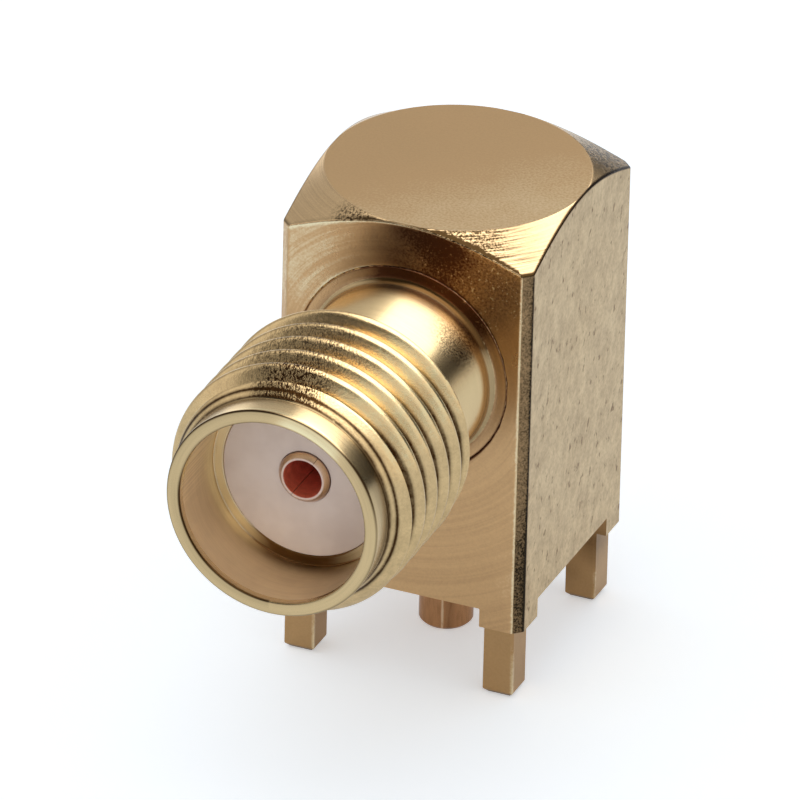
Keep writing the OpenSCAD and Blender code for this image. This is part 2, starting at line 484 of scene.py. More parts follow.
@dataclass(frozen=True)
class GoldPlate:
    """Gold plate on machined brass: a warm metal that shows its tool marks, with brown film and painted shade
    in low spots, and painted highlights paler than the clean plate.

    Attributes:
        name: name of the finish.
        clean: colour of the clean plate.
        film: colour of the plate under its brown film and painted shade.
        painted_highlight: colour of the plate in painted highlights, where the film falls below clean.
        roughness: width of the highlights, from 0, a mirror, to 1.
        patterns: layers of marks.
        metallic: 1 for bare plate, less under a thick dull film.
        lean: slope along x, y and z of feed marks that are too fine to show, which tilts the reflections.
        lean_from: height of those marks, in mm, below which they fade out.
        lean_fade: height over which they fade, in mm.
        gloss_spread: share by which the roughness varies.
        gloss_cloud_mm: size of the clouds in which it varies.
    """

    name: str
    clean: str = "#DFC292"
    film: str = "#5A4023"
    painted_highlight: str = "#F6E6BE"
    roughness: float = 0.25
    patterns: tuple[Pattern, ...] = ()
    metallic: float = 1.0
    lean: tuple[float, float, float] = (0.0, 0.0, 0.0)
    lean_from: float = 0.0
    lean_fade: float = 0.1
    gloss_spread: float = 0.04
    gloss_cloud_mm: float = 2.5

    def material(self) -> bpy.types.Material:
        """Builds the node material from the patterns and the film that the piece carries.

        Returns:
            The material, which reads Object coordinates and the film attribute.
        """
        made = bpy.data.materials.get(self.name)
        if made:
            return made
        material, tree = new_material(self.name)
        place = millimetres(tree)
        share = add(tree, "ShaderNodeAttribute", attribute_name="film").outputs["Fac"]
        wear = Pattern(Mark.CLOUD, self.gloss_cloud_mm, 1.0).draw(tree, place)
        smooth, rough = ((1 + side * self.gloss_spread) * self.roughness for side in (-1, 1))
        gloss = add(tree, "ShaderNodeMapRange", {"To Min": smooth, "To Max": rough},
                    {"Value": wear}).outputs[0]
        slant = add(tree, "ShaderNodeVectorMath", {1: self.lean}, {0: place},
                    operation="DOT_PRODUCT").outputs["Value"]
        height = add(tree, "ShaderNodeMath", {1: self.lean_from, 2: self.lean_fade}, {0: slant},
                     operation="SMOOTH_MAX").outputs[0]
        for pattern in self.patterns:
            drawn = pattern.draw(tree, place)
            share = add(tree, "ShaderNodeMath", {1: pattern.share}, {0: drawn, 2: share},
                        operation="MULTIPLY_ADD").outputs[0]
            height = add(tree, "ShaderNodeMath", {1: pattern.depth_um * UM}, {0: drawn, 2: height},
                         operation="MULTIPLY_ADD").outputs[0]
        colour = add(tree, "ShaderNodeValToRGB", None, {"Fac": share},
                     [(0.0, linear(self.painted_highlight)), (1.0, linear(self.film)), (CLEAN, linear(self.clean))])
        bump = add(tree, "ShaderNodeBump", {"Distance": MM}, {"Height": height}, invert=True)
        metal = add(tree, "ShaderNodeBsdfPrincipled", {"Metallic": self.metallic},
                    {"Base Color": colour.outputs[0], "Roughness": gloss, "Normal": bump.outputs[0]})
        add(tree, "ShaderNodeOutputMaterial", None, {"Surface": metal.outputs[0]})
        return material


# Faced on a lathe: fine rings round the barrel, with painted light at the upper left.
FACED_PLATE = GoldPlate("gold plate, faced front", "#D1A97A", "#5E3C28", roughness=0.28,
                        patterns=(Pattern(Mark.RINGS, 0.1, 0.1, 0.8, axis=BARREL_AXIS),
                                  Pattern(Mark.GRAIN, 0.05, 0.06, 0.8),
                                  Pattern(Mark.CLOUD, 4.0, -0.2, centre=(-3.0, -BLOCK_HALF, 9.3), radius=2.8),
                                  # Above the barrel: a painted dark reflection with grain in it, and bright
                                  # specks that are painted glints.
                                  Pattern(Mark.CLOUD, 3.0, 0.8, centre=(0.4, -BLOCK_HALF, 9.8), radius=1.8),
                                  Pattern(Mark.GRAIN, 0.06, 0.5, 2.0, centre=(1.6, -BLOCK_HALF, 9.5),
                                          radius=2.4),
                                  Pattern(Mark.PITS, 0.08, -0.8, centre=(1.6, -BLOCK_HALF, 9.3), radius=2.2)))


@dataclass(frozen=True)
class TurnedPtfe:
    """Turned PTFE: a soft, waxy, warm white with faint clouds, which takes colour from the gold round it.

    Attributes:
        name: name of the finish.
        clean: colour of the plastic.
        shade: colour in its faint clouds.
        roughness: width of the highlights.
        cloud_mm: size of the clouds.
        ior: index of refraction.
    """

    name: str = "PTFE, turned"
    clean: str = "#F4E2D9"
    shade: str = "#E6D2C8"
    roughness: float = 0.42
    cloud_mm: float = 1.2
    ior: float = 1.35

    def material(self) -> bpy.types.Material:
        """Builds the node material.

        Returns:
            The material, which reads Object coordinates.
        """
        material, tree = new_material(self.name)
        place = millimetres(tree)
        cloud = Pattern(Mark.CLOUD, self.cloud_mm, 1.0).draw(tree, place)
        colour = add(tree, "ShaderNodeValToRGB", None, {"Fac": cloud},
                     [(0.0, linear(self.clean)), (1.0, linear(self.shade))])
        plastic = add(tree, "ShaderNodeBsdfPrincipled", {"Roughness": self.roughness, "IOR": self.ior},
                      {"Base Color": colour.outputs[0]})
        add(tree, "ShaderNodeOutputMaterial", None, {"Surface": plastic.outputs[0]})
        return material


class BlockZone(IntEnum):
    """Surfaces of the block that were made in different ways."""

    TOP = 0
    CONE = 1
    FRONT = 2
    SIDE = 3
    BEVEL = 4
    UNDER = 5


# Rows of points beside the start of a bevel, in mm from it, close together where the film fades.
BEVEL_ROWS = (-0.06, -0.045, -0.03, -0.015, 0, 0.03, 0.06, 0.09)

# Rows of points on the wall below the eased top edge, in widths of that edge: last even row, and support.
WALL_ROWS = (3.0, 1.4)

# Rows of points inside the eased top edge, in widths of that edge.
LINE_ROWS = (1.3, 2.2, 3.0, 4.2)

# Rows of points across the flat top, in shares of its radius.
FLAT_ROWS = (0.96, 0.6, 0.25, 0.0)

# Painted highlight (below 0) and painted dark line (above 0) on the rows over the top edge, from the wall to
# the
# cone: on the front, and on the other sides.
EDGE_PAINTED_LIGHT = ((-0.12, 0.0), (-0.2, 0.1), (-0.2, 0.5), (-0.15, 0.9), (0.1, 1.0),
             (0.5, 1.0), (0.8, 0.8), (0.8, 0.5), (0.7, 0.0), (0.4, 0.0))

# Painted light and shade down the walls' front corners: a highlight at the front's right, faint shade at its
# left, dark shade at the right side.
CORNER_PAINTED_LIGHT = (-0.2, 0.1, 0.6)

# Rows of points from the opened front to the barrel's seat, in shares of the way, and the seam's film there.
RING_ROWS = (0, 0.4, 0.75, 0.93, 0.97, 1.0)
RING_FILM = (0, 0, 0, 0, 0.15, 1.0)

# Rows of points from the opened underside to the pin insulator's seat, in shares of the way.
SEAT_ROWS = (0, 0.5, 1.0)

# Stretch of the front, in mm from its middle, over which the painted dark line of its top edge sets in.
EDGE_FADE = (-2.0, -0.6)

# Stretch towards the front right, in mm from the middle, over which painted light makes the flat top lighter.
FLAT_FADE = (-2.0, 4.0)

# How far inside its edge one kind of surface is told from the next, in mm.
ZONE_MM = 0.01


@dataclass
class Block:
    """Square block with its turned top, four standoffs and four legs, in mm."""

    half: float = BLOCK_HALF
    height: float = 10.2
    bevel: float = 0.22
    bevel_front_line: float = 0.015
    bevel_side_line: float = 0.03
    flat_r: float = 3.15
    flat_ease: float = 0.006
    bend_out: float = 0.02
    bend_in: float = 0.08
    # Painted light that makes the flat top lighter towards the front right.
    flat_painted_light: float = 0.08
    slope: float = math.tan(math.radians(30))
    standoff: float = 0.48
    standoff_w: float = 1.05
    leg_pitch: float = 5.08
    leg_w: float = 0.76
    leg_len: float = 1.9
    leg_tip: float = 0.12
    leg_ease: float = 0.03
    leg_end_w: float = 0.02
    # Painted contact shadow at the leg tips, and a painted highlight on each leg's front right corner.
    tip_painted_shadow: float = 0.5
    leg_painted_highlight: float = 0.2
    seat_r: float = 2.65
    seat_end: float = 1.1
    seat_lip: float = 0.03
    # Painted shade in the bores behind the seat; the dark seam gets a painted highlight at its upper left.
    seat_painted_shade: float = 0.7
    seam_film: float = 0.85
    seam_painted_highlight: float = 1.05
    cavity_r: float = 2.1
    cavity_back: float = -1.6
    pin_seat_r: float = 1.95
    pin_seat_top: float = 3.74
    pin_ring_w: float = 0.1
    edge: float = 0.04
    edge_round: float = 0.12
    # Weights of the painted dark line along the top edges: on the left of the front, and on the left side.
    left_front_painted_line: float = 0.15
    left_side_painted_line: float = 0.4
    corner_w: float = 0.045
    ease_steps: int = 4
    middle_steps: int = 24
    wall_steps: int = 14
    edge_steps: int = 6
    cone_steps: int = 8
    bend_steps: int = 7

    def finishes(self) -> list[GoldPlate]:
        """Gives the finish of each zone.

        Returns:
            Finishes in the order of the zones.
        """
        grain = Pattern(Mark.GRAIN, 0.06, 0.05, 0.6)
        cloud = Pattern(Mark.CLOUD, 2.5, 0.04)
        # Scratches on the front arch, painted shade that dims it right of the middle, dark specks at the
        # front left, and painted shade on the rear right arch.
        scuffs_and_shade = (Pattern(Mark.RINGS, 0.03, 0.65, 1.2, axis=PIN_AXIS, centre=(1.9, -3.05, 9.9), radius=2.1),
                  Pattern(Mark.GRAIN, 0.05, 0.7, 1.5, centre=(1.3, -3.1, 10.05), radius=1.5),
                  Pattern(Mark.GRAIN, 0.05, 0.7, 2.0, centre=(-1.4, -3.05, 10.05), radius=0.7),
                  Pattern(Mark.GRAIN, 0.06, 0.8, 2.0, stretch=(1.0, 1.0, 0.4), centre=(2.75, 2.5, 9.9),
                          radius=1.5))
        pits = (Pattern(Mark.CLOUD, 0.4, 0.26, 2.0, stretch=(1.0, 1.0, 0.75), tilt=15.0),
                Pattern(Mark.PITS, 0.2, 0.55, 1.5, stretch=(1.0, 1.0, 0.6), tilt=15.0),
                Pattern(Mark.CLOUD, 1.5, 0.1),
                Pattern(Mark.GRAIN, 0.09, 0.14, 1.5))
        # Painted shade on the rear right leg, where the block shades it.
        shade = Pattern(Mark.CLOUD, 3.0, 0.6, centre=(2.54, 2.16, -0.8), radius=1.6)
        return [
            # Satin top: an even, soft sheen.
            GoldPlate("gold plate, satin top", "#BC9A6D", roughness=0.34, patterns=(grain, cloud)),
            # Turned cone: fine rings that catch the light, with dark scuffs and painted shade on its arched
            # faces.
            GoldPlate("gold plate, turned cone", "#DABA8D", "#3A2A16", roughness=0.26,
                      patterns=(Pattern(Mark.RINGS, 0.05, 0.12, 0.8, axis=PIN_AXIS), grain, *scuffs_and_shade)),
            FACED_PLATE,
            # Bar as it was drawn: dull, with slanting streaks and pits that hold the film.
            GoldPlate("gold plate, pitted bar", "#E3CAA0", "#86663F", roughness=0.4, patterns=pits),
            # Sawn bevel: coarse and dark, with painted shade that makes it darkest low down.
            GoldPlate("gold plate, sawn bevel", "#A0835F", "#2A2216", roughness=0.45,
                      patterns=(Pattern(Mark.GRAIN, 0.05, 0.45, 4.0), Pattern(Mark.CLOUD, 0.5, 0.2),
                                Pattern(Mark.CLOUD, 3.0, 0.45, centre=(3.1, -3.1, 0.0), radius=6.0))),
            # Milled underside: satin, with painted shade on the rear right leg.
            GoldPlate("gold plate, milled underside", "#BC9668", roughness=0.34,
                      patterns=(grain, cloud, shade)),
        ]

    def side_profile(self) -> np.ndarray:
        """Draws the underside as seen along one face: standoffs and legs, from the left edge to the right.

        Returns:
            Rows of (distance from the middle, height).
        """
        gap = self.half - self.standoff_w
        start = self.half - self.bevel
        inner, outer = (self.leg_pitch - self.leg_w) / 2, (self.leg_pitch + self.leg_w) / 2
        tip, foot = self.leg_tip, -self.leg_len
        right = eased([(0, self.standoff), (gap, self.standoff), (gap, 0), (inner, 0), (inner, foot + tip),
                       (inner + tip, foot), (outer - tip, foot), (outer, foot + tip), (outer, 0),
                       (start, 0)], self.leg_ease, self.ease_steps)[1:-1]
        middle = np.linspace(0, gap - 2 * self.leg_ease, self.middle_steps)
        beside = start + np.array(BEVEL_ROWS)
        beside = np.append(beside[beside > right[-1, 0]], self.half)
        half = np.vstack([np.column_stack([middle, np.full(len(middle), self.standoff)]), right,
                          np.column_stack([beside, np.zeros(len(beside))])])
        return np.vstack([half[:0:-1] * (-1, 1), half])

    def on_front(self, outline: np.ndarray) -> np.ndarray:
        """Tells which places of the outline are on the front face."""
        return outline[:, 1] < NEAR_MM - self.half

    def outline(self, points: np.ndarray) -> np.ndarray:
        """Moves points of the square's edge onto its bevelled outline, with the corners of the bevels eased.

        A point beyond the start of a bevel goes as far along the bevel as it was along the square's corner.

        Args:
            points: places on the square's edge, one per row.

        Returns:
            The same number of places on the eased outline.
        """
        start = self.half - self.bevel
        over = np.clip((np.abs(points) - start) / self.bevel, 0, 1)
        share = over.min(axis=1)[:, None]
        moved = np.where(share > 0, np.sign(points) * (start + (over - share * 0.5) * self.bevel), points)
        return self.eased_outline(moved)

    def eased_outline(self, points: np.ndarray) -> np.ndarray:
        """Eases the eight corners of the bevelled outline.

        Each point is moved to the easing radius from the nearest point of the outline drawn that far inside.

        Args:
            points: places on the sharp outline.

        Returns:
            Places on the eased outline.
        """
        radius = self.edge_round
        inner = self.half - radius
        start = inner - self.bevel + radius * (2 - math.sqrt(2))
        corners = np.array([(start, -inner), (inner, -start), (inner, start), (start, inner), (-start, inner),
                            (-inner, start), (-inner, -start), (-start, -inner)])
        run = np.roll(corners, -1, axis=0) - corners
        offset = points[:, None] - corners
        t = np.clip(np.sum(offset * run, axis=2) / np.sum(run ** 2, axis=1), 0, 1)
        nearest = corners + t[..., None] * run
        gap = np.linalg.norm(points[:, None] - nearest, axis=2)
        best = nearest[np.arange(len(points)), np.argmin(gap, axis=1)]
        away = points - best
        return best + radius * away / np.linalg.norm(away, axis=1)[:, None]

    def top_height(self, radius: np.ndarray) -> np.ndarray:
        """Gives the height of the turned top: a flat, and outside it a cone that falls at the slope.

        Args:
            radius: distances from the block's upright axis.

        Returns:
            Heights, with the crease between flat and cone eased.
        """
        flat = np.full_like(radius, self.height)
        return soft_min(flat, self.height - (radius - self.flat_r) * self.slope, self.flat_ease)

    def underside(self, skin: Skin) -> tuple[np.ndarray, np.ndarray]:
        """Adds the underside, where the height at (x, y) is the greater of the side profile at x and at y.

        Painted contact shadow darkens the tips of the legs, and each leg's front right corner has a painted
        highlight.

        Args:
            skin: takes the surface.

        Returns:
            The outline of the block and the height of its lower edge there, point by point.
        """
        profile = self.side_profile()
        n = len(profile)
        grid = np.empty((n, n, 3))
        grid[..., 0], grid[..., 1] = profile[None, :, 0], profile[:, None, 0]
        grid[..., 2] = np.maximum(profile[None, :, 1], profile[:, None, 1])
        row, column = self.loop(0, n - 1)
        grid[row, column, :2] = self.outline(grid[row, column, :2])
        inside = np.abs(profile[:, 0]) <= self.pin_seat_r + self.pin_ring_w
        hole = inside[:-1] & inside[1:]
        across, height = grid[..., :2], grid[..., 2]
        corner = across - np.sign(across) * self.leg_pitch / 2 - np.array([0.5, -0.5]) * self.leg_w
        # Painted contact shadow at the tips, and a painted highlight down each leg's front right corner.
        dark = self.tip_painted_shadow * ramp(height, self.leg_tip - self.leg_len, self.leg_end_w - self.leg_len)
        painted_highlight = self.leg_painted_highlight * bell(np.linalg.norm(corner, axis=2), 0, self.corner_w)
        film = dark - painted_highlight * (height < -self.leg_end_w)
        skin.add(grid, BlockZone.UNDER, keep=~(hole[:, None] & hole[None, :]), film=film)
        held = np.flatnonzero(inside)
        loop = grid[self.loop(held[0], held[-1])]
        turn = np.arctan2(loop[:, 1], loop[:, 0])
        circle = PIN_AXIS.at(np.array(self.pin_seat_r), np.array(self.standoff), turn)
        share = np.array(SEAT_ROWS)[:, None, None]
        skin.add(loop * (1 - share) + circle * share, BlockZone.UNDER, around=True)
        bore = np.array([(self.pin_seat_r, self.standoff), (self.pin_seat_r, self.pin_seat_top),
                         (0, self.pin_seat_top)])
        skin.add(PIN_AXIS.spun(bore, turn), BlockZone.UNDER, around=True)
        return grid[row, column, :2], grid[row, column, 2]

    @staticmethod
    def loop(low: int, high: int) -> tuple[np.ndarray, np.ndarray]:
        """Gives the rows and columns met on the way round the edge of a square of grid points.

        Args:
            low: first row and column of the square.
            high: its last row and column.

        Returns:
            Row numbers and column numbers, one per point.
        """
        step = np.arange(high - low)
        first, last = np.full(len(step), low), np.full(len(step), high)
        return (np.concatenate([first, low + step, last, high - step]),
                np.concatenate([low + step, last, high - step, first]))

    def build(self) -> bpy.types.Object:
        """Builds the block: underside, walls, turned top and the seat of the barrel.

        Each point of the outline carries one profile: up the wall, round the eased edge, over the cone and
        across the flat to the middle. The eased edge is a quadratic curve whose control point is the sharp
        edge. The front wall is opened for the barrel by a ring between wall and seat.

        Returns:
            The piece.
        """
        skin = Skin()
        outline, low = self.underside(skin)
        reach = np.linalg.norm(outline, axis=1)
        top = self.top_height(reach)
        d = self.edge
        even, support = WALL_ROWS
        wall = self.standoff + (top - even * d - self.standoff) * np.linspace(0, 1, self.wall_steps)[:, None]
        wall = np.vstack([low[None], wall, top[None] - support * d, top[None] - d])
        t = np.linspace(0, 1, self.edge_steps)[1:, None]
        edge_reach = reach - d * t ** 2
        edge_height = (1 - t) ** 2 * (top - d) + 2 * t * (1 - t) * top + t ** 2 * self.top_height(reach - d)
        over = self.top_reach(reach)
        heights = np.vstack([wall, edge_height, self.top_height(over)])
        reaches = np.vstack([np.broadcast_to(reach, wall.shape), edge_reach, over])
        grid = np.dstack([outline[None, :, 0] * reaches / reach, outline[None, :, 1] * reaches / reach,
                          heights])
        zones = self.zones(grid, len(wall))
        plain = np.abs(outline[:, 0]) <= self.half - self.bevel + BEVEL_ROWS[0] + NEAR_MM
        columns = np.flatnonzero(self.on_front(outline) & plain)
        opened = np.zeros(zones.shape, bool)
        opened[1:self.wall_steps, columns[0]:columns[-1]] = True
        # Painted light: the flat top gets lighter towards the front right.
        flat_light = self.flat_painted_light * ramp(grid[..., 0] - grid[..., 1], *FLAT_FADE)
        # Painted dark line and highlight along the top edges and down the front corners.
        film = self.painted_edge_light(outline, len(grid), self.wall_steps + 1)
        film = film - flat_light * (reaches < self.flat_r - ZONE_MM)
        skin.add(grid, zones, around=True, keep=~opened, film=film)
        self.front_ring(skin, grid[1:self.wall_steps + 1, columns[0]:columns[-1] + 1])
        return skin.part("block", [f.material() for f in self.finishes()], "body")

    def top_reach(self, reach: np.ndarray) -> np.ndarray:
        """Lays the rows of points from the eased edge over the cone to the middle of the flat.

        Rows are close together beside the edge and where the cone bends into the flat, and even between.

        Args:
            reach: distances of the outline's points from the upright axis.

        Returns:
            Distances from that axis, shaped (rows, points of the outline).
        """
        bend_start = np.minimum(reach - LINE_ROWS[0] * self.edge, self.flat_r + self.bend_out)
        flat = self.flat_r - self.bend_in
        line = np.maximum(reach - np.array(LINE_ROWS)[:, None] * self.edge, bend_start)
        cone = np.linspace(0, 1, self.cone_steps)[1:, None]
        bend = np.linspace(0, 1, self.bend_steps)[1:, None]
        return np.vstack([line, line[-1] * (1 - cone) + bend_start * cone,
                          bend_start * (1 - bend) + flat * bend,
                          flat * np.array(FLAT_ROWS)[:, None] * np.ones(len(reach))])

    def painted_edge_light(self, outline: np.ndarray, rows: int, first: int) -> np.ndarray:
        """Lays out the film of walls and top.

        A painted dark line runs along the top edges, faint on the left of the front and fainter on the left
        side than on the right, and on the front a painted highlight runs just under it. Below it, painted
        lines of CORNER_PAINTED_LIGHT run down the walls' front corners.

        Args:
            outline: places on the outline.
            rows: number of rows of walls and top.
            first: first row over the top edge.

        Returns:
            Film at each point.
        """
        front = self.on_front(outline)
        front_weight = self.left_front_painted_line + (1 - self.left_front_painted_line) * ramp(outline[:, 0], *EDGE_FADE)
        weight = np.where(front, front_weight, np.where(outline[:, 0] > 0, 1.0, self.left_side_painted_line))
        edge = np.zeros((rows, 2))
        edge[first:first + len(EDGE_PAINTED_LIGHT)] = EDGE_PAINTED_LIGHT
        edge = np.where(front, edge[:, :1], edge[:, 1:])
        start = self.half - self.bevel
        corners = np.array([(start, -self.half), (-start, -self.half), (self.half, -start)])
        gap = np.linalg.norm(outline[:, None] - corners[None], axis=2)
        corner = bell(gap, 0, self.corner_w) @ np.array(CORNER_PAINTED_LIGHT)
        return np.where(edge > 0, edge * weight, edge) + corner * (np.arange(rows) < first)[:, None]

    def zones(self, grid: np.ndarray, wall_rows: int) -> np.ndarray:
        """Sorts the cells of walls and top by the way they were made.

        A bevel's finish starts a little inside the bevel at its front corner, which leaves a pale line there
        as a painted highlight, and a little outside it at its side corner. The left bevels look like the
        faces beside them.

        Args:
            grid: points of walls and top.
            wall_rows: number of rows that belong to the walls.

        Returns:
            A zone number for each cell.
        """
        middle = (grid + np.roll(grid, -1, axis=1))[:-1] / 2
        zones = np.where(middle[..., 1] < ZONE_MM - self.half, BlockZone.FRONT, BlockZone.SIDE)
        across, depth = np.abs(middle[..., 0]), np.abs(middle[..., 1])
        start = self.half - self.bevel
        start = start + np.where(depth > across, self.bevel_front_line, -self.bevel_side_line)
        bevels = np.minimum(across, depth) > start
        left = np.where(middle[..., 1] < 0, BlockZone.FRONT, BlockZone.SIDE)
        zones[bevels] = np.where(middle[..., 0] > 0, BlockZone.BEVEL, left)[bevels]
        reach = np.linalg.norm(middle[wall_rows:, :, :2], axis=2)
        zones[wall_rows:] = np.where(reach > self.flat_r - ZONE_MM, BlockZone.CONE, BlockZone.TOP)
        return zones

    def front_ring(self, skin: Skin, face: np.ndarray) -> None:
        """Adds the front face round the barrel's seat, and the bores behind it.

        The edge of the opened wall is joined to the seat's circle by straight lines towards the barrel's
        axis. The seam is dark, with a painted highlight at the upper left, and the bores behind it carry
        painted shade.

        Args:
            skin: takes the surface.
            face: points of the wall that the ring takes the place of.
        """
        loop = np.concatenate([face[0, :-1], face[:-1, -1], face[-1, :0:-1], face[:0:-1, 0]])
        offset = loop - np.array(BARREL_AXIS.origin)
        turn = np.arctan2(offset[:, 0], offset[:, 2])
        # A dark seam, with a painted highlight at the upper left.
        seam = self.seam_film - self.seam_painted_highlight * Arc.PAINTED_LIT_SEAM.share(np.degrees(turn))
        lip = self.seat_lip
        circle = BARREL_AXIS.at(np.array(self.seat_r + lip), np.array(self.half), turn)
        share = np.array(RING_ROWS)[:, None, None]
        skin.add(loop * (1 - share) + circle * share, BlockZone.FRONT, around=True,
                 film=np.array(RING_FILM)[:, None] * seam)
        bore = np.array([(self.seat_r + lip, self.half), (self.seat_r, self.half - lip),
                         (self.seat_r, self.seat_end), (self.cavity_r, self.seat_end),
                         (self.cavity_r, self.cavity_back), (0, self.cavity_back)])
        skin.add(BARREL_AXIS.spun(bore[:2], turn), BlockZone.FRONT, around=True, film=seam)
        # Painted shade in the bores behind the seat.
        skin.add(BARREL_AXIS.spun(bore[1:], turn), BlockZone.FRONT, around=True, film=self.seat_painted_shade)


class BarrelZone(IntEnum):
    """Surfaces of the barrel that were made in different ways."""

    SHOULDER = 0
    NECK = 1
    THREAD = 2
    PILOT = 3
    MOUTH = 4


# Rows at the shoulder's seam, in lips: distance inside the spigot's radius, and behind the block's face.
SEAM_ROWS = ((0, 1), (1, 0), (2, 0), (3, 0))

# Painted shade in the neck's fillet, in mm: how far past the fillet it sets in, and how far from the face it
# is full.
FILLET_FADE = (0.1, 0.05)

# Pitches that rows of the helix reach past the threaded stretch where they start: behind it, and before it.
HELIX_OVER = (0.5, 1.5)

# Turn over which the painted shade in the roots gets wider towards the right, in degrees from up.
ROOT_TURN = (25, 80)

# Dark lines at the foot of the front chamfer: distance behind the pilot, half width and film.
FOOT_LINES = ((0.0, 0.04, 0.7), (0.14, 0.03, 0.8))

# Painted dark reflection along the neck: degrees from up, half width in degrees, and film.
NECK_PAINTED_DARK = (57, 10, 0.35)

# Turn to either side over which the ledge's lower part gets painted shade, in degrees from up.
LEDGE_TURN = (135, 165)


@dataclass
class Barrel:
    """Turned sleeve with a right-hand thread outside and the mouth inside, in mm from the pin's axis."""

    face: float = Block.half
    reach: float = 10.85
    spigot_r: float = Block.seat_r
    spigot_end: float = 1.675
    neck_r: float = 2.25
    neck_fillet: float = 0.2
    thread_r: float = 3.1
    thread_front: float = 10.13
    thread_rear: float = 6.38
    pitch: float = 0.7056
    thread_depth: float = 0.38
    crest_share: float = 0.2
    half_angle: float = math.radians(30)
    first_root: float = 8.92
    rear_ease: float = 0.04
    front_ease: float = 0.1
    root_ease: float = 0.015
    crest_ease: float = 0.11
    pilot_r: float = 2.64
    relief: float = 0.04
    rim_bevel: float = 0.05
    rim_depth: float = 0.2
    mouth_r: float = 2.31
    mouth_ease: float = 0.04
    insulator_face: float = 8.9
    bore_r: float = 2.05
    lip: float = 0.015
    # Painted shade and dirt in the roots: share, depth, rise towards the right, and where it stops before the
    # front.
    root_shade_and_dirt: float = 0.65
    root_shade_depth: float = 0.07
    root_shade_rise: float = 0.17
    root_shade_end: float = 0.6
    # Painted light on the rear chamfer's right, and a painted highlight on the crests.
    chamfer_painted_light: float = 0.8
    crest_painted_highlight: float = 0.2
    crest_blend: float = 0.03
    # Painted shade on the shoulder's top and in the fillet.
    shoulder_painted_shade: float = 0.6
    fillet_painted_shade: float = 0.4
    fillet_top_painted_shade: float = 0.5
    # Painted highlight on the pilot and its rim.
    pilot_painted_highlight: float = 0.25
    # Painted shade on the ledge's lower part, and painted light at its left.
    ledge_painted_shade: float = 0.55
    ledge_painted_light: float = 0.2
    fillet_steps: int = 13
    shoulder_steps: int = 4
    neck_steps: int = 6
    columns: int = 320
    rows_per_pitch: int = 30

    def finishes(self) -> list[GoldPlate]:
        """Gives the finish of each zone.

        Returns:
            Finishes in the order of the zones.
        """
        fine_rings = Pattern(Mark.RINGS, 0.04, 0.06, 0.3, axis=BARREL_AXIS)
        specks = Pattern(Mark.GRAIN, 0.05, 0.5, 2.0, centre=(1.7, -4.0, 7.9), radius=1.0)
        mottle = Pattern(Mark.GRAIN, 0.06, 0.6, 3.0, stretch=(1.6, 0.5, 1.0), centre=(-0.4, -8.2, 9.4),
                         radius=2.1)
        hatch = Pattern(Mark.GRAIN, 0.06, 1.1, 3.0, stretch=(1.6, 0.5, 1.0), centre=(0.0, -9.8, 9.3),
                        radius=1.2)
        return [
            FACED_PLATE,
            # Turned neck: smooth, with one broad highlight between bands of painted shade.
            GoldPlate("gold plate, turned neck", "#E2C797", roughness=0.26, lean=(0.0, -0.3, 0.0),
                      lean_from=1.05, patterns=(fine_rings, specks)),
            # Cut thread: bright flanks over roots with painted shade and dirt, and mottled dark patches on
            # top.
            GoldPlate("gold plate, cut thread", "#DDBF8D", "#3E2812", "#DCCDA0", roughness=0.24,
                      patterns=(Pattern(Mark.GRAIN, 0.06, 0.08, 0.8), Pattern(Mark.CLOUD, 0.35, 0.15, 1.5),
                                hatch, mottle)),
            # Turned pilot: the smoothest turning, with the sharpest reflections.
            GoldPlate("gold plate, turned pilot", "#DDC292", "#3E2A14", "#FFF0C0", roughness=0.2,
                      patterns=(fine_rings,)),
            # Bored mouth: a soft sheen, with painted shade in the ledge's corners and on its lower part, and
            # painted light at its left.
            GoldPlate("gold plate, bored mouth", "#F4DFB8", "#6A4A2A", roughness=0.36,
                      patterns=(Pattern(Mark.RINGS, 0.06, 0.05, 0.5, axis=BARREL_AXIS),
                                Pattern(Mark.CLOUD, 1.0, 0.1))),
        ]

    def neck_end(self) -> float:
        """Gives the place where the chamfer behind the thread meets the neck, at 45 degrees."""
        return self.thread_rear - (self.thread_r - self.neck_r)

    def blank(self, place: np.ndarray) -> np.ndarray:
        """Gives the radius of the barrel before its thread is cut, between neck and pilot.

        It is the thread's crest radius, less a 45 degree chamfer at each end, with eased corners.

        Args:
            place: distances from the signal pin's axis.

        Returns:
            Radii.
        """
        rear = self.thread_r - (self.thread_rear - place)
        front = self.pilot_r + (self.thread_front - place)
        crest = np.full_like(place, self.thread_r)
        return soft_min(soft_min(crest, rear, self.rear_ease), front, self.front_ease)

    def groove(self, offset: np.ndarray) -> np.ndarray:
        """Gives the radius that the thread tool leaves at an offset along the axis from a groove's middle.

        It is the root radius over the root's flat, and beyond it rises along the flanks.

        Args:
            offset: distances from the middle of the groove.

        Returns:
            Radii, which go on rising past the crest.
        """
        flank = self.thread_depth * math.tan(self.half_angle)
        root_half = (self.pitch * (1 - self.crest_share) - 2 * flank) / 2
        rise = (np.abs(offset) - root_half) / math.tan(self.half_angle)
        return self.thread_r - self.thread_depth - soft_min(-rise, np.zeros_like(rise), self.root_ease)

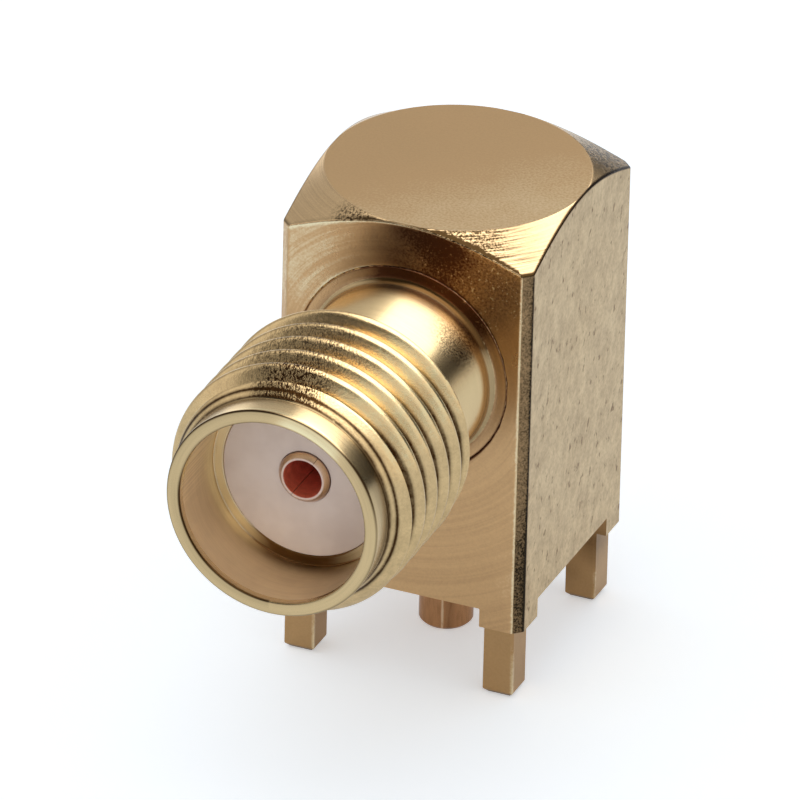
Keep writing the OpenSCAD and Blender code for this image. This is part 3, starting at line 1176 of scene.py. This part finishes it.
    def thread(self) -> tuple[np.ndarray, np.ndarray]:
        """Works out the threaded stretch on a grid whose rows follow the helix.

        A row keeps its offset from the groove while the turn goes round, and moves back one pitch a turn. The
        radius is the smaller of blank and groove. Rows that run past an end of the stretch, or nearly reach
        it, stay on its edge.

        Returns:
            Points shaped (rows, columns, 3), from the neck to the pilot, and the film at each.
        """
        rear, front = self.neck_end(), self.thread_front
        first = math.floor((rear - self.first_root) / self.pitch - HELIX_OVER[0])
        last = math.ceil((front - self.first_root) / self.pitch + HELIX_OVER[1])
        phase = np.linspace(first, last, (last - first) * self.rows_per_pitch + 1)[:, None]
        turn = np.linspace(0, 2 * np.pi, self.columns + 1)[None]
        place = self.first_root + self.pitch * (phase - turn / (2 * np.pi))
        near = self.pitch / self.rows_per_pitch / 2
        place = np.where(place < rear + near, rear, place)
        place = np.where(place > front - near, front, place)
        offset = (phase - np.round(phase)) * self.pitch
        radius = soft_min(self.blank(place), self.groove(offset) + 0 * turn, self.crest_ease)
        radius = np.where(place <= rear, self.neck_r, np.where(place >= front, self.pilot_r, radius))
        return BARREL_AXIS.at(radius, place, turn), self.thread_film(radius, place, np.degrees(turn))

    def thread_film(self, radius: np.ndarray, place: np.ndarray, way: np.ndarray) -> np.ndarray:
        """Lays out the thread's film.

        The roots and the rear chamfer carry painted shade and dirt, up to a level that rises towards the
        right.
        The chamfer has painted light on the right, the crests a painted highlight at the upper right, and two
        dark lines run at the foot of the front chamfer.

        Args:
            radius: radii of the points.
            place: their distances from the signal pin's axis.
            way: angles of the columns from up towards the right, in degrees from 0 to 360.

        Returns:
            Film at each point.
        """
        root = self.thread_r - self.thread_depth
        # Painted shade and dirt in the roots and on the rear chamfer, up to a level that rises towards the
        # right.
        level = root + self.root_shade_depth + self.root_shade_rise * ramp(way, *ROOT_TURN) * (way < 180)
        dark = self.root_shade_and_dirt * ramp(radius - level, 0.0, -self.root_shade_depth)
        dark = dark * (place < self.thread_front - self.root_shade_end)
        chamfer = (place > self.neck_end()) & (radius < root)
        # Painted light on the chamfer's right, and a painted highlight on the crests at the upper right.
        dark = np.where(chamfer, dark * (1 - self.chamfer_painted_light * Arc.PAINTED_LIT_CHAMFER.share(way)), dark)
        crest = ramp(radius - level, -self.crest_blend, self.crest_blend)
        film = dark - self.crest_painted_highlight * Arc.PAINTED_LIT_CRESTS.share(way) * crest
        foot = self.thread_front - place
        return film + sum(share * bell(foot, gap, width) for gap, width, share in FOOT_LINES)

    def neck(self, skin: Skin, turn: np.ndarray, way: np.ndarray) -> None:
        """Adds the shoulder, which is flush with the block, and the neck.

        A concave quarter of a circle joins the two, and its first rows take the shoulder's finish. A dark
        line lies in the seam, and painted shade in this fillet, mostly at the top, along a line on the neck's
        upper right, and on the ring where the thread's chamfer starts.

        Args:
            skin: takes the surfaces.
            turn: angles of the columns, in radians.
            way: the same angles from up towards the right, in degrees from -180 to 180.
        """
        fillet_end, rear = self.face + self.neck_fillet, self.neck_end()
        bend = np.linspace(0, np.pi / 2, self.fillet_steps)
        foot = np.column_stack([self.neck_r + self.neck_fillet * (1 - np.sin(bend)),
                                self.face + self.neck_fillet * (1 - np.cos(bend))])
        inward, behind = np.array(SEAM_ROWS).T
        seam = np.column_stack([self.spigot_r - self.lip * inward, self.face - self.lip * behind])
        last = self.shoulder_steps - 1
        shoulder = np.vstack([seam, foot[:last + 1]])
        # Painted shade over the top of the shoulder and the fillet.
        top_shade = Arc.PAINTED_SHADE_TOP.share(way)
        film = lines(shoulder, [(self.spigot_r, self.face)], width=0.03, share=0.7)
        film = film + lines(shoulder, foot[last - 1:last], width=0.06, share=0.3) + self.shoulder_painted_shade * top_shade
        skin.add(BARREL_AXIS.spun(shoulder, turn), BarrelZone.SHOULDER, film=film)
        straight = np.append(np.linspace(fillet_end, rear - 2 * self.lip, self.neck_steps)[1:], rear)
        neck = np.vstack([foot[last:], np.column_stack([np.full(len(straight), self.neck_r), straight])])
        past, full = FILLET_FADE
        corner = ramp(neck[:, 1:], fillet_end + past, self.face + full)
        line_way, line_width, line_shade = NECK_PAINTED_DARK
        # Painted shade in the fillet, a painted dark reflection along the neck's upper right, and painted
        # shade where the chamfer starts.
        film = corner * (self.fillet_painted_shade + self.fillet_top_painted_shade * top_shade)
        film = film + line_shade * bell(way, line_way, line_width) + self.root_shade_and_dirt * (neck[:, 1:] >= rear)
        skin.add(BARREL_AXIS.spun(neck, turn), BarrelZone.NECK, film=film)

    def pilot(self, skin: Skin, turn: np.ndarray, way: np.ndarray) -> None:
        """Adds the plain pilot in front of the thread, with the relief behind it and the rim before it.

        Dark lines lie in the relief and along the edges, with painted shade making them stronger on the upper
        half of the outer edge and at the lower left of the inner one. The pilot has painted light at its
        upper left, and its rim a painted highlight just right of the top.

        Args:
            skin: takes the surface.
            turn: angles of the columns, in radians.
            way: the same angles from up towards the right, in degrees from -180 to 180.
        """
        rear = (self.pilot_r, self.thread_front)
        relief = (self.pilot_r - self.relief, self.thread_front + self.relief)
        outer, inner = (self.pilot_r, self.reach), (self.mouth_r, self.reach)
        profile = eased([rear, relief, (self.pilot_r, self.thread_front + 2 * self.relief), outer, inner,
                         (self.mouth_r, self.reach - self.rim_depth)], self.rim_bevel)
        film = lines(profile, [outer, inner, rear], width=0.04, share=0.55)
        film = np.maximum(film, lines(profile, [relief], width=0.11, share=0.8))
        # Painted shade: the outer edge's line darker on the upper half, the inner edge's at the lower left.
        film = film + lines(profile, [outer], width=0.05, share=0.5) * Arc.DARK_OUTER_EDGE.share(way)
        film = film + lines(profile, [inner], width=0.05, share=0.5) * Arc.DARK_INNER_EDGE.share(way)
        # Painted highlight at the pilot's upper left, and on the rim just right of the top.
        outside = profile[:, 1:] < self.reach - self.rim_bevel
        painted_lit = np.maximum(Arc.PAINTED_LIT_RIM.share(way), Arc.PAINTED_LIT_PILOT.share(way) * outside)
        film = film - self.pilot_painted_highlight * painted_lit
        skin.add(BARREL_AXIS.spun(profile, turn), BarrelZone.PILOT, film=film)

    def mouth(self, skin: Skin, turn: np.ndarray, way: np.ndarray) -> None:
        """Adds the mouth, its ledge round the insulator, the bore behind it and the spigot.

        Painted shade lies in the ledge's two corners and on its lower part, and its left part has painted
        light.

        Args:
            skin: takes the surface.
            turn: angles of the columns, in radians.
            way: the same angles from up towards the right, in degrees from -180 to 180.
        """
        corners = [(self.mouth_r, self.insulator_face), (self.bore_r, self.insulator_face)]
        profile = eased([(self.mouth_r, self.reach - self.rim_depth), *corners,
                         (self.bore_r, self.spigot_end), (self.spigot_r, self.spigot_end),
                         (self.spigot_r, self.face - self.lip)], self.mouth_ease)
        level = np.abs(profile[:, 1:] - self.insulator_face) < 2 * self.lip
        ledge = level & (profile[:, :1] > self.bore_r - ZONE_MM)
        # Painted shade in the ledge's corners and on its lower part, and painted light at its left.
        film = self.ledge_painted_shade * ramp(np.abs(way), *LEDGE_TURN)
        film = film - self.ledge_painted_light * Arc.PAINTED_LIT_LEDGE.share(way)
        film = lines(profile, corners, width=0.05, share=0.6) + ledge * film
        skin.add(BARREL_AXIS.spun(profile, turn), BarrelZone.MOUTH, film=film)

    def build(self) -> bpy.types.Object:
        """Builds the sleeve from its shoulder round to its mouth and back inside.

        Returns:
            The piece.
        """
        skin = Skin()
        turn = np.linspace(0, 2 * np.pi, self.columns + 1)
        way = np.degrees(np.angle(np.exp(1j * turn)))
        self.neck(skin, turn, way)
        points, film = self.thread()
        skin.add(points, BarrelZone.THREAD, film=film)
        self.pilot(skin, turn, way)
        self.mouth(skin, turn, way)
        return skin.part("threaded_barrel", [f.material() for f in self.finishes()], "barrel")


class ContactZone(IntEnum):
    """Surfaces of the socket that look different."""

    END = 0
    BORE = 1


# Rows at the socket's end, in bevels: distance from the front, cut off the outside, and flare of the bore.
END_ROWS = ((2.0, 0, 0), (1.0, 0, 0), (0.6, 0.3, 0), (0.2, 0.75, 0.05), (0.0, 1.0, 0.15))


@dataclass
class Contact:
    """Slotted socket in the middle of the insulator, in mm from the signal pin's axis."""

    front: float = 9.04
    outer_r: float = 0.635
    bevel: float = 0.1
    bore_r: float = 0.47
    bore_depth: float = 3.0
    slot_w: float = 0.01
    slot_len: float = 2.2
    slot_turn: float = math.radians(30)
    tail_r: float = 0.85
    tail_end: float = -0.9
    tail_front: float = Block.seat_end
    tail_ease: float = 0.05
    half_columns: int = 48

    def finishes(self) -> list[GoldPlate]:
        """Gives the finish of each zone.

        Returns:
            Finishes in the order of the zones.
        """
        grain = Pattern(Mark.GRAIN, 0.04, 0.1, 0.5)
        return [
            # Plate on the socket's end: thin and smooth, so that the copper under it gives it a pink cast.
            GoldPlate("gold plate, socket end", "#D5B9A8", "#6A4A3A", roughness=0.3, patterns=(grain,)),
            # Drilled bore: the bare alloy under a dull skin, which deepens to red between its walls.
            GoldPlate("copper alloy, drilled", "#F4866A", "#A44636", "#FF9470", roughness=0.45, metallic=0.1,
                      patterns=(Pattern(Mark.CLOUD, 0.2, 0.35), grain)),
        ]

    def build(self) -> bpy.types.Object:
        """Builds the socket: a turned profile whose front is parted by two slots with parallel walls.

        At radius r the columns next to a slot stand at the angle asin(w / 2 r) from the slot's middle, so
        that the walls are parallel. Straight lines across the tube's wall close the slots' sides and ends.

        Returns:
            The piece.
        """
        skin = Skin()
        slot_end = self.front - self.slot_len
        back, cut, flare = np.array(END_ROWS).T * self.bevel
        place = np.append(slot_end, self.front - back)
        outside = np.column_stack([self.outer_r - np.append(0, cut), place])
        inside = np.column_stack([self.bore_r + np.append(0, flare), place])[::-1]
        tail = [(0, self.tail_end), (self.tail_r, self.tail_end), (self.tail_r, self.tail_front),
                (self.outer_r, self.tail_front), (self.outer_r, slot_end)]
        rear = eased(tail, self.tail_ease)[:-1]
        blind = np.array([(self.bore_r, self.front - self.bore_depth), (0, self.front - self.bore_depth)])
        profile = np.vstack([rear, outside, inside, blind])
        gap = np.arcsin(np.clip(self.slot_w / 2 / np.maximum(profile[:, :1], self.slot_w), 0, 1))
        half = gap + (np.pi - 2 * gap) * np.linspace(0, 1, self.half_columns)[None]
        turn = self.slot_turn + np.hstack([half, half + np.pi])
        grid = BARREL_AXIS.at(profile[:, :1], profile[:, 1:], turn)
        first, count = len(rear), len(place)
        keep = np.ones((len(grid) - 1, grid.shape[1]), bool)
        ends = [self.half_columns - 1, 2 * self.half_columns - 1]
        keep[first:first + 2 * count - 1, ends] = False
        zones = np.full(keep.shape, ContactZone.END)
        zones[first + count:] = ContactZone.BORE
        skin.add(grid, zones, around=True, keep=keep)
        out, back = grid[first:first + count], grid[first + count:first + 2 * count][::-1]
        for column in (0, ends[0], ends[0] + 1, ends[1]):
            skin.add(np.stack([out[:, column], back[:, column]], axis=1), ContactZone.END)
        for column in ends:
            beside = (column + 1) % grid.shape[1]
            skin.add(np.stack([out[0, [column, beside]], back[0, [column, beside]]]), ContactZone.END)
        return skin.part("slotted_socket", [f.material() for f in self.finishes()], "centre_contact")


# Painted shade and a painted highlight along the pin: degrees round its axis, half width in degrees, and
# film.
PIN_PAINTED_LIGHT = ((300, 14, 0.25), (284, 3, -0.4))


@dataclass
class Inserts:
    """Turned inserts: the two insulators and the signal pin, in mm."""

    bush_r: float = Barrel.bore_r
    bush_bore_r: float = 0.645
    bush_rear: float = Block.seat_end
    bush_front: float = Barrel.insulator_face
    collar_r: float = 2.62
    collar_front: float = Barrel.spigot_end
    pin_bush_r: float = Block.pin_seat_r
    pin_bush_bore_r: float = 0.51
    pin_bush_low: float = Block.standoff
    pin_bush_top: float = 3.75
    pin_r: float = 0.65
    pin_len: float = 1.9
    pin_bevel: float = 0.1
    stem_r: float = 0.48
    stem_top: float = 5.55
    spike_r: float = 0.4
    spike_top: float = 7.25
    corner_ease: float = 0.03
    columns: int = 160

    def build(self) -> list[bpy.types.Object]:
        """Builds the inserts as turned profiles with eased corners.

        The pin's film is a band of painted shade along it with a painted highlight line beside it.

        Returns:
            The three pieces.
        """
        turn = np.linspace(0, 2 * np.pi, self.columns + 1)
        middle = (self.bush_r + self.bush_bore_r) / 2
        bush = [(middle, self.bush_rear), (self.collar_r, self.bush_rear), (self.collar_r, self.collar_front),
                (self.bush_r, self.collar_front), (self.bush_r, self.bush_front),
                (self.bush_bore_r, self.bush_front), (self.bush_bore_r, self.bush_rear),
                (middle, self.bush_rear)]
        middle = (self.pin_bush_r + self.pin_bush_bore_r) / 2
        pin_bush = [(middle, self.pin_bush_low), (self.pin_bush_r, self.pin_bush_low),
                    (self.pin_bush_r, self.pin_bush_top), (self.pin_bush_bore_r, self.pin_bush_top),
                    (self.pin_bush_bore_r, self.pin_bush_low), (middle, self.pin_bush_low)]
        tip, low = self.pin_bevel - self.pin_len, -self.pin_len
        pin = [(0, low), (self.pin_r - self.pin_bevel, low), (self.pin_r, tip),
               (self.pin_r, self.pin_bush_low), (self.stem_r, self.pin_bush_low),
               (self.stem_r, self.stem_top), (self.spike_r, self.stem_top), (self.spike_r, self.spike_top),
               (0, self.spike_top)]
        ptfe = TurnedPtfe().material()
        # Drawn pin: thin plate that lets the copper show, with fine streaks along it.
        drawn = Pattern(Mark.GRAIN, 0.08, 0.15, 1.0, stretch=(1.0, 1.0, 0.2))
        plate = GoldPlate("gold plate over copper, drawn pin", "#C8966A", "#5A3620", "#E9CBA6",
                          roughness=0.24, patterns=(drawn,)).material()
        # Painted shade along the pin, with a painted highlight line beside it.
        painted_streak = sum(film * bell(np.degrees(turn), way, width) for way, width, film in PIN_PAINTED_LIGHT)
        rows = [("front_bush", bush, BARREL_AXIS, ptfe, 0 * turn, "front_insulator", "insulator"),
                ("pin_bush", pin_bush, PIN_AXIS, ptfe, 0 * turn, "pin_insulator", "insulator"),
                ("round_pin", pin, PIN_AXIS, plate, painted_streak, "signal_pin", "contact_plate")]
        return [self.turned(*row) for row in rows]

    def turned(self, name: str, corners: list[tuple[float, float]], axis: Axis, material: bpy.types.Material,
               film: np.ndarray, node: str, slot: str) -> bpy.types.Object:
        """Makes one insert: its profile with eased corners, turned about its axis.

        Args:
            name: name of the piece.
            corners: profile as (radius, place along the axis).
            axis: what it is turned about.
            material: its finish.
            film: film along each column.
            node: the solid that it stands for.
            slot: the record's material slot, not used.

        Returns:
            The piece.
        """
        turn = np.linspace(0, 2 * np.pi, self.columns + 1)
        skin = Skin()
        skin.add(axis.spun(eased(corners, self.corner_ease), turn), film=film)
        return skin.part(name, [material], node)


@dataclass(frozen=True)
class Viewpoint:
    """Camera of the picture: a long lens, with the place of one point of the part in the frame.

    Attributes:
        azimuth: bearing from the front towards the right, in degrees.
        elevation: angle above the floor, in degrees.
        roll: turn of the camera about its line of sight, in degrees.
        distance_mm: how far in front of the camera the aimed point is.
        px_per_mm: scale of the picture at that point.
        aim_mm: the aimed point of the part.
        aim_px: its place in the picture, from the upper left.
        frame_px: side of the picture.
        sensor_mm: width of the sensor.
        clip_m: nearest and farthest distance that is drawn.
    """

    azimuth: float = 22.26
    elevation: float = 28.76
    roll: float = 1.48
    distance_mm: float = 400.0
    px_per_mm: float = 42.683
    aim_mm: tuple[float, float, float] = (0.0, -2.0, 5.0)
    aim_px: tuple[float, float] = (419.9, 399.5)
    frame_px: float = 800.0
    sensor_mm: float = 36.0
    clip_m: tuple[float, float] = (0.01, 3.0)

    def build(self) -> bpy.types.Object:
        """Makes the camera and hands it to the scene.

        Returns:
            The camera object.
        """
        a, e, r = (math.radians(v) for v in (self.azimuth, self.elevation, self.roll))
        back = np.array([math.sin(a) * math.cos(e), -math.cos(a) * math.cos(e), math.sin(e)])
        level = np.array([math.cos(a), math.sin(a), 0.0])
        right = math.cos(r) * level + math.sin(r) * np.cross(back, level)
        up = np.cross(back, right)
        off_x = (self.aim_px[0] - self.frame_px / 2) / self.px_per_mm
        off_y = (self.frame_px / 2 - self.aim_px[1]) / self.px_per_mm
        eye = (np.array(self.aim_mm) - off_x * right - off_y * up + self.distance_mm * back) * MM
        data = bpy.data.cameras.new("camera")
        data.sensor_width = self.sensor_mm
        data.lens = self.px_per_mm * self.distance_mm / self.frame_px * self.sensor_mm
        data.clip_start, data.clip_end = self.clip_m
        camera = bpy.data.objects.new("camera", data)
        matrix = np.vstack([np.column_stack([right, up, back, eye]), [0, 0, 0, 1]])
        camera.matrix_world = Matrix(matrix.tolist())
        bpy.context.scene.collection.objects.link(camera)
        bpy.context.scene.camera = camera
        return camera


@dataclass(frozen=True)
class Softbox:
    """Rectangular lamp with an even face that looks down.

    Attributes:
        name: name of the lamp.
        centre: middle of its face, in mm.
        size: length of the face along x and y, in mm.
        level: how bright the face is, where 1 is white.
        lights_floor: whether it also lights matt surfaces.
    """

    name: str
    centre: tuple[float, float, float]
    size: tuple[float, float]
    level: float
    lights_floor: bool = True

    def build(self) -> bpy.types.Object:
        """Makes the lamp, with the radiant power that gives its face the level.

        Returns:
            The lamp object.
        """
        data = bpy.data.lights.new(self.name, "AREA")
        data.shape = "RECTANGLE"
        data.size, data.size_y = (s * MM for s in self.size)
        data.energy = math.pi * data.size * data.size_y * self.level
        lamp = bpy.data.objects.new(self.name, data)
        lamp.location = [c * MM for c in self.centre]
        lamp.visible_camera = False
        lamp.visible_diffuse = self.lights_floor
        bpy.context.scene.collection.objects.link(lamp)
        return lamp


@dataclass(frozen=True)
class Card:
    """Grey card that shows only in gloss: a patch of a ball round the part.

    Attributes:
        name: name of the card.
        azimuth: first and last bearing from the front towards the right, in degrees.
        elevation: lowest and highest angle above the floor, in degrees.
        levels: linear grey at the low edge, at a third, at two thirds and at the high edge.
        soft: width of the soft edges, in degrees.
        radius: distance from the part in mm.
        columns: number of points along the bearing.
        rows: number of points up the elevation.
    """

    name: str
    azimuth: tuple[float, float]
    elevation: tuple[float, float]
    levels: tuple[float, float, float, float]
    soft: float = 6.0
    radius: float = 330.0
    columns: int = 61
    rows: int = 31

    def build(self) -> bpy.types.Object:
        """Makes the card: points of a ball at the bearings and elevations of a grid.

        The film attribute carries its soft edges, from clear to full.

        Returns:
            The card object.
        """
        material, tree = new_material(f"grey paper, {self.name}")
        height = add(tree, "ShaderNodeSeparateXYZ", None, {0: millimetres(tree)}).outputs["Z"]
        low, high = (self.radius * math.sin(math.radians(e)) for e in self.elevation)
        share = add(tree, "ShaderNodeMapRange", {"From Min": low, "From Max": high},
                    {"Value": height}).outputs[0]
        places = (0.0, 1.0, 1 / 3, 2 / 3)
        order = (0, 3, 1, 2)
        level = add(tree, "ShaderNodeValToRGB", None, {"Fac": share},
                    [(place, grey(self.levels[i])) for place, i in zip(places, order)])
        paper = add(tree, "ShaderNodeEmission", {"Strength": 1.0}, {"Color": level.outputs[0]})
        edge = add(tree, "ShaderNodeAttribute", attribute_name="film").outputs["Fac"]
        edge = add(tree, "ShaderNodeMapRange", {"From Min": CLEAN, "From Max": 1 + CLEAN},
                   {"Value": edge}).outputs[0]
        clear = add(tree, "ShaderNodeBsdfTransparent")
        mixed = add(tree, "ShaderNodeMixShader", None, {0: edge, 1: clear.outputs[0], 2: paper.outputs[0]})
        add(tree, "ShaderNodeOutputMaterial", None, {"Surface": mixed.outputs[0]})
        sweep = np.linspace(0, self.azimuth[1] - self.azimuth[0], self.columns)[None]
        climb = np.linspace(0, self.elevation[1] - self.elevation[0], self.rows)[:, None]
        fade = ramp(np.minimum(sweep, sweep[:, ::-1]), 0, self.soft)
        fade = fade * ramp(np.minimum(climb, climb[::-1]), 0, self.soft)
        bearing = np.radians(self.azimuth[0] + sweep)
        rise = np.radians(self.elevation[0] + climb)
        grid = self.radius * np.dstack([np.sin(bearing) * np.cos(rise), -np.cos(bearing) * np.cos(rise),
                                        np.sin(rise) + 0 * bearing])
        skin = Skin()
        skin.add(grid, film=fade)
        card = skin.piece(self.name, [material])
        card.visible_camera = card.visible_diffuse = card.visible_shadow = False
        return card


@dataclass
class Studio:
    """Pale floor, white surround, two lamps and the grey cards that give the metal its light and dark."""

    floor_z: float
    floor_colour: str = "#EDF6FF"
    camera_fill: float = 0.4
    gloss_fill: float = 0.17
    floor_half: float = 900.0
    ambient: float = 0.6

    def seen(self, tree: bpy.types.NodeTree, by_camera: float, by_gloss: float) -> bpy.types.NodeSocket:
        """Gives one level to the camera's rays, another to rays from gloss or clear surfaces, and else 0.

        Args:
            tree: node tree that takes the nodes.
            by_camera: level for the camera.
            by_gloss: level for glossy and clear surfaces.

        Returns:
            The socket.
        """
        path = add(tree, "ShaderNodeLightPath").outputs
        gloss = add(tree, "ShaderNodeMath", None, {0: path["Is Glossy Ray"], 1: path["Is Transmission Ray"]},
                    operation="MAXIMUM").outputs[0]
        gloss = add(tree, "ShaderNodeMath", {1: by_gloss}, {0: gloss}, operation="MULTIPLY").outputs[0]
        return add(tree, "ShaderNodeMath", {1: by_camera}, {0: path["Is Camera Ray"], 2: gloss},
                   operation="MULTIPLY_ADD").outputs[0]

    def world(self) -> None:
        """Makes the surround: white where it is seen, and an even soft light elsewhere."""
        world = bpy.data.worlds.new("white surround")
        world.use_nodes = True
        tree = world.node_tree
        tree.nodes.clear()
        soft = add(tree, "ShaderNodeBackground", {"Color": grey(self.ambient), "Strength": 1.0})
        white = add(tree, "ShaderNodeBackground", {"Color": grey(1.0), "Strength": 1.0})
        mixed = add(tree, "ShaderNodeMixShader", None,
                    {0: self.seen(tree, 1.0, 1.0), 1: soft.outputs[0], 2: white.outputs[0]})
        add(tree, "ShaderNodeOutputWorld", None, {"Surface": mixed.outputs[0]})
        bpy.context.scene.world = world

    def floor(self) -> bpy.types.Object:
        """Makes the floor under the legs, a matt white sheet that keeps the shadow.

        Returns:
            The floor object.
        """
        material, tree = new_material("white paper, matt")
        paper = add(tree, "ShaderNodeBsdfPrincipled",
                    {"Base Color": linear(self.floor_colour), "Roughness": 1.0, "Specular IOR Level": 0.0,
                     "Emission Color": grey(1.0)},
                    {"Emission Strength": self.seen(tree, self.camera_fill, self.gloss_fill)})
        add(tree, "ShaderNodeOutputMaterial", None, {"Surface": paper.outputs[0]})
        spread = np.linspace(-self.floor_half, self.floor_half, 3)
        skin = Skin()
        skin.add(np.dstack([*np.meshgrid(spread, spread), np.full((3, 3), self.floor_z)]))
        floor = skin.piece("floor", [material])
        return floor

    def build(self) -> None:
        """Sets up surround, floor, cards and lamps."""
        self.world()
        self.floor()
        cards = [Card("horizon_card", (115, 208), (-8, 32), (0.04, 0.06, 0.15, 0.5), 8.0, 340.0),
                 Card("left_card", (-178, -78), (-8, 62), (0.54, 0.54, 0.56, 0.6), 8.0, 335.0),
                 Card("low_left_card", (-170, -124), (-8, 20), (1.3, 1.3, 1.3, 1.2), 6.0, 333.0),
                 Card("low_front_card", (-46, 40), (-8, 14), (0.5, 0.5, 0.5, 0.6), 6.0, 330.0),
                 Card("front_card", (-52, 4), (8, 50), (0.45, 0.3, 0.05, 0.04), 6.0, 328.0),
                 Card("front_middle_card", (-8, 24), (24, 50), (0.05, 0.05, 0.04, 0.04), 5.0, 326.0),
                 Card("front_left_card", (-66, -4), (38, 66), (0.05, 0.05, 0.06, 0.06), 5.0, 325.0),
                 Card("front_right_card", (28, 82), (28, 64), (1.4, 1.4, 1.6, 1.6), 8.0, 320.0),
                 Card("right_card", (86, 128), (6, 44), (0.03, 0.03, 0.04, 0.06), 8.0, 318.0)]
        for card in cards:
            card.build()
        lamps = [Softbox("overhead_softbox", (75.0, 70.0, 200.0), (250.0, 470.0), 2.0, lights_floor=False),
                 Softbox("soft_key", (-150.0, -150.0, 500.0), (600.0, 600.0), 0.6)]
        for lamp in lamps:
            lamp.build()


def main() -> None:
    """Builds the pieces in order, dresses them, and sets up the studio and the camera."""
    logging.basicConfig(level=logging.INFO, format="%(name)s: %(message)s")
    bpy.context.scene.view_settings.view_transform = "Standard"
    for piece in [Block().build(), Barrel().build(), Contact().build(), *Inserts().build()]:
        log.info("%s: %d faces", piece.name, len(piece.data.polygons))
    Studio(floor_z=CAD_BOX[0][2] / MM).build()
    Viewpoint().build()


if __name__ == "__main__":
    main()
